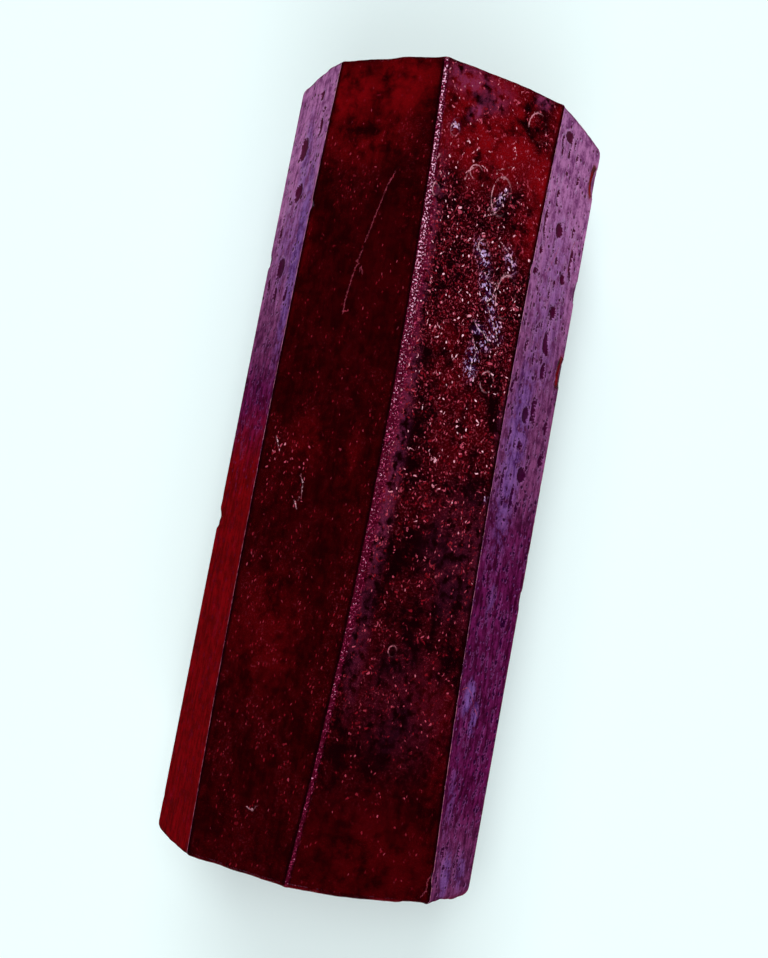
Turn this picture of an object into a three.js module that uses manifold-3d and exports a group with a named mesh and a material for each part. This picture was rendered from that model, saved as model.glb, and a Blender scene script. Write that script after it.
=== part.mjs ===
// A rough red beryl: one six-sided crystal whose edges are cut by a second, narrower set of
// faces, so its section has twelve sides. It lies on one of the narrow faces.
// Millimetres, +Z up, +Y along the crystal, origin under the middle of its box.

import * as THREE from 'three';
import { mergeVertices } from 'three/addons/utils/BufferGeometryUtils.js';
import Module from 'manifold-3d';

// ---------- driving dimensions ----------

const HALF_LENGTH = 49.5;         // from the middle to either broken end
const RIM_ROUND = 0.5;            // how far the end rims are worn round
const EDGE_CHATTER = 0.05;        // how unsteady the long edges are
const FACE_RELIEF = 0.09;         // height of the low swells on the faces
const STATIONS = 21;              // sections along the crystal
const STATION_REACH = 47.2;       // the outermost of them, just inside the rims

// The faces, round the crystal from the top ridge towards +X. Each is a plane 30 degrees on from
// the last, `out` from the axis, leaning out by `taper` at the far end and bowed by `bow` at
// both. `strips` is how many strips of facets it is made in.
const FACE_STEP = Math.PI / 6;
const FACES = [
  { name: 'ridge', out: 0, taper: 0, bow: 0, strips: 1 },
  { name: 'right prism', out: 20.15, taper: 0.2, bow: -0.9, strips: 5 },
  { name: 'right bevel', out: 19.4, taper: -0.2, bow: 0.1, strips: 4 },
  { name: 'right side', out: 20.0, taper: 0.1, bow: 0, strips: 3 },
  { name: 'right under bevel', out: 21.4, taper: 0.1, bow: -0.3, strips: 2 },
  { name: 'right under prism', out: 20.05, taper: -0.1, bow: 0.2, strips: 4 },
  { name: 'rest', out: 20.5, taper: 0, bow: 0, strips: 2 },
  { name: 'left under prism', out: 20.0, taper: 0.1, bow: 0.1, strips: 3 },
  { name: 'left under bevel', out: 20.7, taper: -0.1, bow: -0.2, strips: 2 },
  { name: 'left side', out: 20.0, taper: 0.15, bow: -0.1, strips: 3 },
  { name: 'left bevel', out: 20.15, taper: 0.1, bow: 0, strips: 3 },
  { name: 'left prism', out: 19.85, taper: 0, bow: 0.8, strips: 5 },
];
const RIDGE = 0;
const RIGHT_PRISM = 1;
const RIGHT_BEVEL = 2;
const RIGHT_SIDE = 3;
const REST = 6;
const LEFT_SIDE = 9;
const LEFT_BEVEL = 10;
const LEFT_PRISM = 11;

// The ridge is rubbed off least at the far end and most around a third of the way down.
const RIDGE_CUT = { least: 0.1, most: 0.12, centre: 14, spread: 34 };

// Pits that stand out by themselves: across the face, along the crystal, then their sizes.
const LARGE_PITS = [
  { face: RIGHT_BEVEL, across: -2.6, along: 46.2, wide: 1.0, long: 1.3, deep: 0.3 },
  { face: RIGHT_BEVEL, across: -0.9, along: 34.5, wide: 1.0, long: 1.8, deep: 0.5 },
  { face: RIGHT_BEVEL, across: 2.3, along: 29.1, wide: 0.7, long: 1.4, deep: 0.5 },
  { face: RIGHT_BEVEL, across: 1.6, along: 24.1, wide: 0.8, long: 1.9, deep: 0.5 },
  { face: RIGHT_BEVEL, across: 0.7, along: 19.7, wide: 0.7, long: 2.9, deep: 0.4 },
  { face: RIGHT_BEVEL, across: 1.6, along: 16.3, wide: 0.7, long: 1.8, deep: 0.4 },
  { face: RIGHT_BEVEL, across: 0.5, along: 11.7, wide: 0.6, long: 2.8, deep: 0.4 },
  { face: RIGHT_BEVEL, across: -2.2, along: 10.1, wide: 0.9, long: 1.8, deep: 0.3 },
  { face: RIGHT_BEVEL, across: 0.5, along: 3.1, wide: 1.1, long: 1.9, deep: 0.5 },
  { face: RIGHT_BEVEL, across: -1.1, along: 0.0, wide: 0.4, long: 3.1, deep: 0.3 },
  { face: RIGHT_BEVEL, across: -5.0, along: 34.5, wide: 0.3, long: 3.8, deep: 0.25 },
  { face: LEFT_BEVEL, across: 3.9, along: 44.4, wide: 0.6, long: 0.8, deep: 0.4 },
  { face: LEFT_BEVEL, across: -1.1, along: 39.6, wide: 1.1, long: 3.2, deep: 0.4 },
  { face: LEFT_BEVEL, across: 0.1, along: 33.5, wide: 1.1, long: 2.5, deep: 0.5 },
  { face: LEFT_BEVEL, across: -0.8, along: 23.6, wide: 1.3, long: 2.9, deep: 0.3 },
  { face: LEFT_BEVEL, across: 2.4, along: 19.8, wide: 0.4, long: 2.1, deep: 0.3 },
];

// Round grooves left on the right prism face by shells of growth.
const RING_GROOVES = [
  { across: 1.5, along: 45.0, wide: 2.5, long: 3.8 },
  { across: -1.9, along: 35.0, wide: 2.7, long: 4.9 },
  { across: 1.1, along: 23.2, wide: 2.7, long: 5.4 },
  { across: -5.9, along: 36.8, wide: 1.7, long: 1.8 },
  { across: -9.7, along: 40.8, wide: 1.3, long: 1.5 },
  { across: -3.2, along: 28.4, wide: 1.3, long: 1.6 },
];
const GROOVE_RADIUS = 0.17;

// Small pits scattered over each face: how many, and how long the longest may be.
const SCATTER = [
  { face: RIDGE, count: 14, longest: 0.8 },
  { face: RIGHT_PRISM, count: 26, longest: 1.0 },
  { face: RIGHT_BEVEL, count: 38, longest: 1.6 },
  { face: RIGHT_SIDE, count: 20, longest: 1.8 },
  { face: 4, count: 10, longest: 1.6 },
  { face: 5, count: 22, longest: 1.6 },
  { face: 7, count: 18, longest: 1.6 },
  { face: 8, count: 12, longest: 1.6 },
  { face: LEFT_SIDE, count: 20, longest: 1.8 },
  { face: LEFT_BEVEL, count: 18, longest: 1.4 },
  { face: LEFT_PRISM, count: 8, longest: 0.7 },
];
const PIT_MARGIN = 0.9;           // scattered pits keep this far from a face's edges
const PIT_REACH = 43;             // and this near to the middle of the crystal

// Chips out of the long edges. `edge` is the face whose +X-going edge is chipped.
const EDGE_CHIPS = [
  { edge: RIGHT_BEVEL, along: 43.6, wide: 2.4, long: 5.0, deep: 0.55 },
  { edge: RIGHT_BEVEL, along: 28.6, wide: 1.8, long: 3.4, deep: 0.5 },
  { edge: RIGHT_BEVEL, along: 17.7, wide: 1.6, long: 4.4, deep: 0.35 },
  { edge: RIGHT_BEVEL, along: -12.0, wide: 1.4, long: 2.8, deep: 0.35 },
  { edge: RIGHT_PRISM, along: -46.4, wide: 1.7, long: 3.0, deep: 0.5 },
  { edge: RIGHT_PRISM, along: 27.6, wide: 0.7, long: 1.8, deep: 0.2 },
  { edge: LEFT_SIDE, along: 25.2, wide: 1.4, long: 2.2, deep: 0.4 },
  { edge: LEFT_SIDE, along: -9.0, wide: 1.6, long: 3.0, deep: 0.4 },
  { edge: LEFT_BEVEL, along: 31.0, wide: 0.6, long: 1.6, deep: 0.2 },
  { edge: LEFT_PRISM, along: 2.1, wide: 0.9, long: 1.5, deep: 0.3 },
  { edge: RIGHT_SIDE, along: 6.0, wide: 2.0, long: 4.2, deep: 0.5 },
  { edge: 4, along: -22.0, wide: 1.8, long: 3.6, deep: 0.45 },
  { edge: 7, along: 33.0, wide: 2.0, long: 4.0, deep: 0.5 },
  { edge: 8, along: -28.0, wide: 1.8, long: 3.2, deep: 0.45 },
];

// Shell-shaped hollows where the ends broke: the middle of each, its two widths, its depth and
// how far it is turned. They overlap, and meet in low ridges.
const END_SCOOPS = [
  { end: 1, x: 3.0, z: -13.0, wide: 36, high: 24, deep: 2.0, turn: 0.15 },
  { end: 1, x: -9.0, z: 3.0, wide: 19, high: 21, deep: 1.2, turn: -0.3 },
  { end: 1, x: 7.5, z: 6.0, wide: 21, high: 15, deep: 1.0, turn: 0.5 },
  { end: -1, x: -5.0, z: -9.0, wide: 35, high: 29, deep: 2.3, turn: -0.2 },
  { end: -1, x: 9.0, z: 5.0, wide: 17, high: 20, deep: 1.1, turn: 0.3 },
  { end: -1, x: -6.5, z: 9.5, wide: 19, high: 12, deep: 0.8, turn: -0.4 },
];

// ---------- steady random numbers ----------

let seed = 20260;

function random() {
  seed = (seed + 0x6d2b79f5) | 0;
  let t = Math.imul(seed ^ (seed >>> 15), 1 | seed);
  t = (t + Math.imul(t ^ (t >>> 7), 61 | t)) ^ t;
  return ((t ^ (t >>> 14)) >>> 0) / 4294967296;
}

function between(low, high) {
  return low + (high - low) * random();
}

// ---------- the faces and their edges ----------

function faceAngle(face) {
  return face * FACE_STEP;
}

function faceNormal(face) {
  const angle = faceAngle(face);
  return new THREE.Vector3(Math.sin(angle), 0, Math.cos(angle));
}

function faceAcross(face) {
  const angle = faceAngle(face);
  return new THREE.Vector3(Math.cos(angle), 0, -Math.sin(angle));
}

// Where two planes that turn round the Y axis meet, in a section across it.
function meet(angleA, outA, angleB, outB) {
  const spread = Math.sin(angleB - angleA);
  const x = (outB * Math.cos(angleA) - outA * Math.cos(angleB)) / spread;
  const z = (outA * Math.sin(angleB) - outB * Math.sin(angleA)) / spread;
  return new THREE.Vector2(x, z);
}

// How far a face stands from the axis at a place along the crystal.
function outAt(face, along) {
  const s = along / HALF_LENGTH;
  if (face === RIDGE) {
    const sharp = meet(
      faceAngle(LEFT_PRISM) - 2 * Math.PI,
      outAt(LEFT_PRISM, along),
      faceAngle(RIGHT_PRISM),
      outAt(RIGHT_PRISM, along),
    );
    const from = (along - RIDGE_CUT.centre) / RIDGE_CUT.spread;
    return sharp.y - RIDGE_CUT.least - RIDGE_CUT.most * Math.exp(-from * from);
  }
  const { out, taper, bow } = FACES[face];
  return out + taper * s + bow * s * s;
}

// The corner that a face shares with the next one round.
function cornerAfter(face, along) {
  const next = (face + 1) % FACES.length;
  const step = faceAngle(face) + FACE_STEP;
  return meet(faceAngle(face), outAt(face, along), step, outAt(next, along));
}

// Low swells: long ones that run with the crystal, as its growth lines do.
function swell(face, across, along) {
  const lines = Math.sin(across * 1.9 + face * 2.3 + 0.7 * Math.sin(along * 0.11 + face));
  const waves = Math.sin(along * 0.19 + face * 1.7) * Math.cos(across * 0.45 + face);
  return FACE_RELIEF * (0.45 * lines + 0.55 * waves);
}

function touchesRest(face) {
  return face === REST || (face + 1) % FACES.length === REST;
}

// ---------- the whole crystal before its pits ----------

// One section: the points round it, each with the unit direction in from the edge.
function sectionAt(along) {
  const points = [];
  for (let face = 0; face < FACES.length; face += 1) {
    const before = (face + FACES.length - 1) % FACES.length;
    const start = cornerAfter(before, along);
    const end = cornerAfter(face, along);
    if (!touchesRest(before)) {
      start.multiplyScalar(1 + (EDGE_CHATTER / 20) * Math.sin(along * 1.3 + face * 5));
    }
    const normal = faceNormal(face);
    const across = faceAcross(face);
    for (let strip = 0; strip < FACES[face].strips; strip += 1) {
      const point = start.clone().lerp(end, strip / FACES[face].strips);
      if (strip > 0 && face !== REST) {
        const place = point.x * across.x + point.y * across.z;
        point.x += normal.x * swell(face, place, along);
        point.y += normal.z * swell(face, place, along);
      }
      points.push(point);
    }
  }
  return points;
}

// The broken ends: how far each stands out from the middle, over the section. The far one has a
// knuckle at its left shoulder and falls away to the right. The near one leans, and dips by the
// ridge.
function endAt(end, x, z) {
  if (end > 0) {
    const knuckle = Math.exp(-((x + 12.5) ** 2 + (z - 16.5) ** 2) / 14);
    const saddle = Math.exp(-((x + 1.5) ** 2) / 14);
    return HALF_LENGTH + 0.65 * knuckle - 0.3 * saddle - 0.0035 * Math.max(0, x - 8) ** 2;
  }
  const dip = Math.exp(-((x + 4) ** 2) / 45);
  return HALF_LENGTH + 0.022 * x - 0.6 * dip;
}

// How far each end rim is worn at a place on it: most at the two sides.
function rimWear(x, z) {
  return RIM_ROUND * (1 + 0.4 * Math.sin(x * 0.31 + 1) * Math.cos(z * 0.27) + 0.8 * (x / 20) ** 2);
}

// A ring over an end: the section drawn in by `inset` and lowered from the end by `drop`.
function endRing(end, edge, insetOf, dropOf) {
  return edge.map((point) => {
    const wear = rimWear(point.x, point.y);
    const reach = point.length();
    const scale = (reach - insetOf(wear, reach)) / reach;
    const x = point.x * scale;
    const z = point.y * scale;
    return new THREE.Vector3(x, end * (endAt(end, x, z) - dropOf(wear)), z);
  });
}

function endRings(end) {
  const edge = sectionAt(end * (STATION_REACH + 1));
  const arc = [0, Math.PI / 4, Math.PI / 2];
  const rings = arc.map((angle) => endRing(
    end,
    edge,
    (wear) => wear * (1 - Math.cos(angle)),
    (wear) => wear * (1 - Math.sin(angle)),
  ));
  for (const share of [0.32, 0.62, 0.84]) {
    rings.push(endRing(end, edge, (wear, reach) => reach * share, () => 0));
  }
  return rings;
}

function crystalBlank() {
  const rings = endRings(-1).reverse();
  for (let i = 0; i < STATIONS; i += 1) {
    const along = -STATION_REACH + (2 * STATION_REACH * i) / (STATIONS - 1);
    rings.push(sectionAt(along).map((point) => new THREE.Vector3(point.x, along, point.y)));
  }
  rings.push(...endRings(1));

  const round = rings[0].length;
  const near = new THREE.Vector3(0, -endAt(-1, 0, 0), 0);
  const far = new THREE.Vector3(0, endAt(1, 0, 0), 0);
  const points = [...rings.flat(), near, far];
  const nearIndex = points.length - 2;
  const farIndex = points.length - 1;
  const lastRing = (rings.length - 1) * round;
  const triangles = [];
  for (let i = 0; i < round; i += 1) {
    const next = (i + 1) % round;
    for (let ring = 0; ring + 1 < rings.length; ring += 1) {
      const a = ring * round + i;
      const b = ring * round + next;
      triangles.push(a, b, a + round, b, b + round, a + round);
    }
    triangles.push(nearIndex, next, i);
    triangles.push(farIndex, lastRing + i, lastRing + next);
  }
  const geometry = new THREE.BufferGeometry();
  geometry.setFromPoints(points);
  geometry.setIndex(triangles);
  return geometry;
}

// ---------- the shapes taken out of it ----------

// Puts a cutter on a face: its X goes across the face, its Y along the crystal, its Z out.
function onFace(geometry, face, across, along, lift, turn) {
  const normal = faceNormal(face);
  const frame = new THREE.Matrix4().makeBasis(faceAcross(face), new THREE.Vector3(0, 1, 0), normal);
  const origin = normal.clone().multiplyScalar(outAt(face, along) + lift);
  origin.addScaledVector(faceAcross(face), across);
  origin.y = along;
  geometry.rotateZ(turn);
  geometry.applyMatrix4(frame);
  geometry.translate(origin.x, origin.y, origin.z);
  return geometry;
}

// A six-sided etch pit that runs to a point, longer than it is wide.
function etchPit({ face, across, along, wide, long, deep, turn = 0 }) {
  const proud = FACE_RELIEF + 0.08;
  const grow = (deep + proud) / deep;
  const geometry = new THREE.ConeGeometry(0.5, 1, 6);
  geometry.rotateX(-Math.PI / 2);
  geometry.scale(wide * grow, long * grow, deep + proud);
  return onFace(geometry, face, across, along, (proud - deep) / 2, turn);
}

// A larger pit has a rounded floor.
function roundPit({ face, across, along, wide, long, deep, turn = 0 }) {
  const geometry = new THREE.OctahedronGeometry(1, 1);
  geometry.scale(wide / 1.8, long / 1.8, deep);
  return onFace(geometry, face, across, along, 0.05, turn);
}

function ringGroove({ across, along, wide, long }) {
  const geometry = new THREE.TorusGeometry(1, 0.5, 3, 14);
  const tube = GROOVE_RADIUS / 0.5;
  geometry.scale(wide / 2, long / 2, tube);
  return onFace(geometry, RIGHT_PRISM, across, along, FACE_RELIEF / 2, 0);
}

function ballCutter(wide, long, deep, detail) {
  const geometry = new THREE.IcosahedronGeometry(1, detail);
  geometry.scale(wide, long, deep);
  return geometry;
}

function edgeChip({ edge, along, wide, long, deep }) {
  const corner = cornerAfter(edge, along);
  const geometry = ballCutter(wide / 2 + deep, long / 2, deep * 2, 1);
  const angle = faceAngle(edge) + FACE_STEP / 2;
  const reach = corner.length() + deep;
  const out = new THREE.Vector2(Math.sin(angle), Math.cos(angle));
  geometry.rotateY(angle);
  const sidestep = corner.clone().sub(out.clone().multiplyScalar(corner.dot(out)));
  geometry.translate(out.x * reach + sidestep.x, along, out.y * reach + sidestep.y);
  return geometry;
}

// A scoop is the end of a flattened ball, sunk to half of its lower half.
function endScoop({ end, x, z, wide, high, deep, turn }) {
  const sunk = Math.sqrt(3) / 2;
  const geometry = ballCutter(wide / 2 / sunk, high / 2 / sunk, deep * 2, 3);
  geometry.rotateX(Math.PI / 2);
  geometry.rotateY(turn);
  geometry.translate(x, end * (endAt(end, x, z) + deep), z);
  return geometry;
}

// Scattered pits keep clear of each other and of the larger marks.
function scatteredPits() {
  const taken = [...LARGE_PITS, ...RING_GROOVES.map((ring) => ({ face: RIGHT_PRISM, ...ring }))];
  const pits = [];
  for (const { face, count, longest } of SCATTER) {
    const before = (face + FACES.length - 1) % FACES.length;
    let left = count;
    for (let tries = 0; left > 0 && tries < 60 * count; tries += 1) {
      const along = between(-PIT_REACH, PIT_REACH);
      const across = faceAcross(face);
      const side = new THREE.Vector2(across.x, across.z);
      const margin = face === RIDGE ? 0.1 : PIT_MARGIN;
      const low = cornerAfter(before, along).dot(side) + margin;
      const high = cornerAfter(face, along).dot(side) - margin;
      const long = between(0.35, 1) * longest;
      const pit = {
        face,
        across: between(low, high),
        along,
        wide: long * between(0.3, 0.55),
        long,
        deep: between(0.12, 0.2) * (1 + long / 2),
        turn: between(-0.12, 0.12),
      };
      const clear = taken.every((other) => other.face !== face
        || Math.abs(other.along - along) > (other.long + long) / 2 + 0.35
        || Math.abs(other.across - pit.across) > (other.wide + pit.wide) / 2 + 0.35);
      if (clear) {
        taken.push(pit);
        pits.push(pit);
        left -= 1;
      }
    }
  }
  return pits;
}

// ---------- joining and cutting ----------

const wasm = await Module();
wasm.setup();

function toSolid(geometry) {
  const bare = geometry.clone();
  bare.deleteAttribute('normal');
  bare.deleteAttribute('uv');
  const merged = mergeVertices(bare, 1e-5);
  return new wasm.Manifold(new wasm.Mesh({
    numProp: 3,
    vertProperties: new Float32Array(merged.attributes.position.array),
    triVerts: new Uint32Array(merged.index.array),
  }));
}

function toGeometry(solid) {
  const mesh = solid.getMesh();
  const geometry = new THREE.BufferGeometry();
  geometry.setAttribute('position', new THREE.BufferAttribute(mesh.vertProperties, 3));
  geometry.setIndex(new THREE.BufferAttribute(mesh.triVerts, 1));
  return geometry;
}

function crystalGeometry() {
  const cutters = [
    ...END_SCOOPS.map(endScoop),
    ...EDGE_CHIPS.map(edgeChip),
    ...RING_GROOVES.map(ringGroove),
    ...LARGE_PITS.map(roundPit),
    ...scatteredPits().map(etchPit),
  ];
  const solid = cutters.reduce(
    (whole, cutter) => whole.subtract(toSolid(cutter)),
    toSolid(crystalBlank()),
  );
  const geometry = toGeometry(solid);
  geometry.computeBoundingBox();
  const { min, max } = geometry.boundingBox;
  geometry.translate(-(min.x + max.x) / 2, -(min.y + max.y) / 2, -min.z);
  geometry.computeVertexNormals();
  return geometry;
}

const redBeryl = new THREE.MeshStandardMaterial({
  color: 0x5e0712,
  roughness: 0.22,
  metalness: 0,
  transparent: true,
  opacity: 0.9,
});

const crystal = new THREE.Mesh(crystalGeometry(), redBeryl);
crystal.name = 'crystal';

const part = new THREE.Group();
part.add(crystal);

export default part;
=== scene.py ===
# A rough red beryl lying on a pale floor: one long see-through prism with a six-sided habit,
# bevelled edges, etched and pitted side faces, a rubbed ridge and two broken ends.
import math
import random

import bmesh
import bpy
from mathutils import Matrix, Vector, noise


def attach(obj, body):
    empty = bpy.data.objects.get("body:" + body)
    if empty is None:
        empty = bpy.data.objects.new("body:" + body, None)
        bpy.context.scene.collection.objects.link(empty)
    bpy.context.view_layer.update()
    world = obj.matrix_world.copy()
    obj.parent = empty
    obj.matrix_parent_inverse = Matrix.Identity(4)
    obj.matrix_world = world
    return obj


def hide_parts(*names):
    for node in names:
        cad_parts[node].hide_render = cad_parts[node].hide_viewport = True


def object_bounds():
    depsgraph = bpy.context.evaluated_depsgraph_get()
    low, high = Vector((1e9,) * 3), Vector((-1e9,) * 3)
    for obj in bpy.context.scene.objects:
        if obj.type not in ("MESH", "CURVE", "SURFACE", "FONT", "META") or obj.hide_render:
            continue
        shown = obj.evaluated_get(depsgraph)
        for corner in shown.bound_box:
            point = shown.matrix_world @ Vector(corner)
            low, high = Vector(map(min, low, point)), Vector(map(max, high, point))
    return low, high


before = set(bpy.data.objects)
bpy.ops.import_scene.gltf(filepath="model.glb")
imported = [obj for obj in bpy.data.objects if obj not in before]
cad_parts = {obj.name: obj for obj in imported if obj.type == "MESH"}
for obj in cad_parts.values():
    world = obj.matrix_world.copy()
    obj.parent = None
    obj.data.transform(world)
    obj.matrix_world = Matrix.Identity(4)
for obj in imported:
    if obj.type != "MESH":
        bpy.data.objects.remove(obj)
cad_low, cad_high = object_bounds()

# ---------- sizes, in millimetres unless a name says otherwise ----------

MM = 0.001
AXIS = Vector((-0.045, -0.09, 20.5))  # the middle of the crystal's axis, in the frame
HALF_LENGTH = 49.5  # from the middle to either broken end
NEAR, BETWEEN, FAR = -1, 0, 1  # the near end, the sides between, the far end
RIM_ROUND = 0.45  # how far the end rims are worn round
RIM_STEPS = 5  # sections round an end rim
STATION_STEP = 0.355  # spacing of the sections along the sides
EDGE_BANDS = (0.11, 0.24)  # fine columns on both sides of a long edge
EDGE_WEAR = 0.035  # how far a long edge is rubbed in
NICK_REACH = 0.55  # how far over a face a nick in its edge reaches
RELIEF_FADE = 0.5  # how near an edge the relief of a face fades out
END_STEP = 0.62  # spacing of the grid over an end
END_REACH = 24.0  # how far that grid runs out
END_SHIFT = 0.013  # how far it is off the axis
PATTERN_STEP = 60.0  # from the pattern of one face to the next
END_PATTERNS = {FAR: 12, NEAR: 13}  # the ends' patterns come after the faces'

# The faces from the top ridge towards +X, each 30 degrees on from the last.
(RIDGE, RIGHT_PRISM, RIGHT_BEVEL, RIGHT_SIDE, RIGHT_UNDER_BEVEL, RIGHT_UNDER_PRISM, REST,
 LEFT_UNDER_PRISM, LEFT_UNDER_BEVEL, LEFT_SIDE, LEFT_BEVEL, LEFT_PRISM) = range(12)
FACE_TURN = math.radians(30)
RIGHT_ETCHED = (RIGHT_BEVEL, RIGHT_SIDE, RIGHT_UNDER_BEVEL)
LEFT_ETCHED = (LEFT_UNDER_BEVEL, LEFT_SIDE, LEFT_BEVEL)

# Each face's plane: how far out it stands, how it leans and bows along the crystal, and how wide
# the columns of its mesh are.
FACES = {
    RIDGE: (0, 0, 0, 0.2),
    RIGHT_PRISM: (20.15, 0.2, -0.9, 0.31),
    RIGHT_BEVEL: (19.4, -0.2, 0.1, 0.24),
    RIGHT_SIDE: (20, 0.1, 0, 0.55),
    RIGHT_UNDER_BEVEL: (21.4, 0.1, -0.3, 0.7),
    RIGHT_UNDER_PRISM: (20.05, -0.1, 0.2, 0.75),
    REST: (20.5, 0, 0, 1.5),
    LEFT_UNDER_PRISM: (20, 0.1, 0.1, 0.75),
    LEFT_UNDER_BEVEL: (20.7, -0.1, -0.2, 0.75),
    LEFT_SIDE: (20, 0.15, -0.1, 0.55),
    LEFT_BEVEL: (20.15, 0.1, 0, 0.3),
    LEFT_PRISM: (19.85, 0, 0.8, 0.5),
}

# The ridge has no plane of its own: its sharp edge is worn down all along, and more round a place.
RIDGE_WORN, RIDGE_MORE, RIDGE_MORE_AT, RIDGE_MORE_SPREAD = 0.07, 0.12, 14.0, 34.0

# Pits that stand out by themselves: across the face, along the crystal, width, length, depth.
LARGE_PITS = {
    RIGHT_BEVEL: (
        (-2.6, 46.2, 2.2, 1.5, 0.22), (0.6, 44.5, 0.8, 1.3, 0.2), (-0.9, 34.5, 2, 1.9, 0.42),
        (2.3, 29.1, 1.4, 1.5, 0.4), (-0.3, 30.8, 0.8, 1.1, 0.25), (1.3, 24.3, 1.5, 2, 0.42),
        (0.8, 20.3, 1.5, 2.9, 0.36), (1.3, 16.6, 1.2, 2.2, 0.36), (0.7, 11.8, 1.2, 2.9, 0.36),
        (-1.2, 10.4, 1.9, 2.1, 0.26), (0.5, 3.1, 2.2, 2, 0.42), (-1.1, 0, 0.8, 3.2, 0.26),
        (-5, 34.5, 0.7, 3.9, 0.24), (-4.8, 30.7, 0.9, 1.1, 0.28), (-5.5, 27.7, 0.9, 0.8, 0.26),
        (-4.3, 18.5, 0.7, 1.3, 0.24), (3.8, 32.2, 0.8, 4.6, 0.2), (-4.3, 1.9, 0.6, 3.4, 0.2),
        (5, 10.2, 1, 2, 0.3), (5, 5.7, 1.1, 1.7, 0.3), (-1.4, 6.6, 1, 1.2, 0.22),
    ),
    LEFT_BEVEL: (
        (3.2, 44, 1, 0.9, 0.34), (1.8, 46.2, 1.1, 1.4, 0.24), (-0.9, 39.6, 2.2, 3.3, 0.32),
        (0.1, 33.6, 2.1, 2.6, 0.38), (-0.8, 23.6, 2.2, 3, 0.24), (2.4, 19.8, 0.9, 2.2, 0.26),
        (-1.1, 20.4, 1.2, 1.6, 0.26), (-3.3, 29.2, 0.6, 4.9, 0.2), (3.2, 41.6, 1, 2.6, 0.2),
        (-3.9, 21.8, 0.6, 2.4, 0.2),
    ),
}

# Round grooves on the right prism face: across it, along the crystal, width, length.
RING_GROOVES = (
    (1.5, 45, 2.5, 3.8), (-1.9, 35, 2.7, 4.9), (1.1, 23.2, 2.7, 5.4),
    (-5.9, 36.8, 1.7, 1.8), (-9.7, 40.8, 1.3, 1.5), (-3.2, 28.4, 1.3, 1.6),
    (-10.9, 33.1, 0.9, 1.7), (0.6, 12.5, 1.8, 2.6), (-5.2, -21, 1.1, 1.3),
)
GROOVE_HALF = 0.26  # half the width of a groove
GROOVE_DEEP = 0.13
GROOVE_LIT_SIDE = 2.6  # which way round a ring its painted highlight is brightest, in radians

# Scattered pits on each face: how many, the longest, and how near an edge they come.
SCATTER = {
    RIDGE: (60, 0.9, 0.05),
    RIGHT_PRISM: (130, 0.9, 0.4),
    RIGHT_BEVEL: (230, 1.5, 0.4),
    RIGHT_SIDE: (90, 2, 0.7),
    RIGHT_UNDER_BEVEL: (40, 1.8, 0.7),
    RIGHT_UNDER_PRISM: (90, 1.9, 0.9),
    LEFT_UNDER_PRISM: (80, 1.9, 0.9),
    LEFT_UNDER_BEVEL: (50, 1.8, 0.8),
    LEFT_SIDE: (100, 2, 0.7),
    LEFT_BEVEL: (90, 1.3, 0.4),
    LEFT_PRISM: (26, 0.8, 0.5),
}

# Chips out of the long edges: the face before the edge, along, width, length, depth.
EDGE_CHIPS = (
    (RIGHT_BEVEL, 43.6, 2.4, 5, 0.55), (RIGHT_BEVEL, 28.6, 1.8, 3.4, 0.5),
    (RIGHT_BEVEL, 17.7, 1.6, 4.4, 0.35), (RIGHT_BEVEL, -12, 1.4, 2.8, 0.35),
    (RIGHT_PRISM, -46.6, 1.2, 2.4, 0.2), (RIGHT_PRISM, 27.6, 0.7, 1.8, 0.2),
    (LEFT_SIDE, 25.2, 1.4, 2.2, 0.4), (LEFT_SIDE, -9, 1.6, 3, 0.4),
    (LEFT_BEVEL, 31, 0.6, 1.6, 0.2), (LEFT_PRISM, 2.1, 0.9, 1.5, 0.3),
    (RIGHT_SIDE, 6, 2, 4.2, 0.5), (RIGHT_UNDER_BEVEL, -22, 1.8, 3.6, 0.45),
    (LEFT_UNDER_PRISM, 33, 2, 4, 0.5), (LEFT_UNDER_BEVEL, -28, 1.8, 3.2, 0.45),
)

# The broken ends before their hollows: a lean, the bumps and dips of each, and a side that falls.
# Of a bump: which end, x, z or None for right across the end, spread, height.
END_LEAN = {NEAR: 0.022, FAR: 0.0}
END_FALL = {NEAR: 0.0, FAR: 0.0035}
END_FALL_FROM = 8
END_BUMPS = ((FAR, -16.4, 11.4, 24, 0.5), (FAR, -1.5, None, 14, -0.3), (NEAR, -4, None, 45, -0.6))

# Shell-shaped hollows in the broken ends: which end, x, z, width, height, depth, turn.
END_SCOOPS = (
    (FAR, 3, -13, 36, 24, 2, 0.15), (FAR, -9, 3, 19, 21, 1.2, -0.3),
    (FAR, 7.5, 6, 21, 15, 1, 0.5), (NEAR, -5, -9, 35, 29, 3.2, -0.2),
    (NEAR, 9, 5, 17, 20, 1.7, 0.3), (NEAR, -6.5, 9.5, 19, 12, 1.3, -0.4),
)
SCOOP_RIM = math.sqrt(3) / 2  # how far out a hollow's wall meets the end
RIPPLE_HIGH, RIPPLE_COUNT, RIPPLE_CLOSING, RIPPLE_SWAY = 0.06, 24, 1.6, 5

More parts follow.
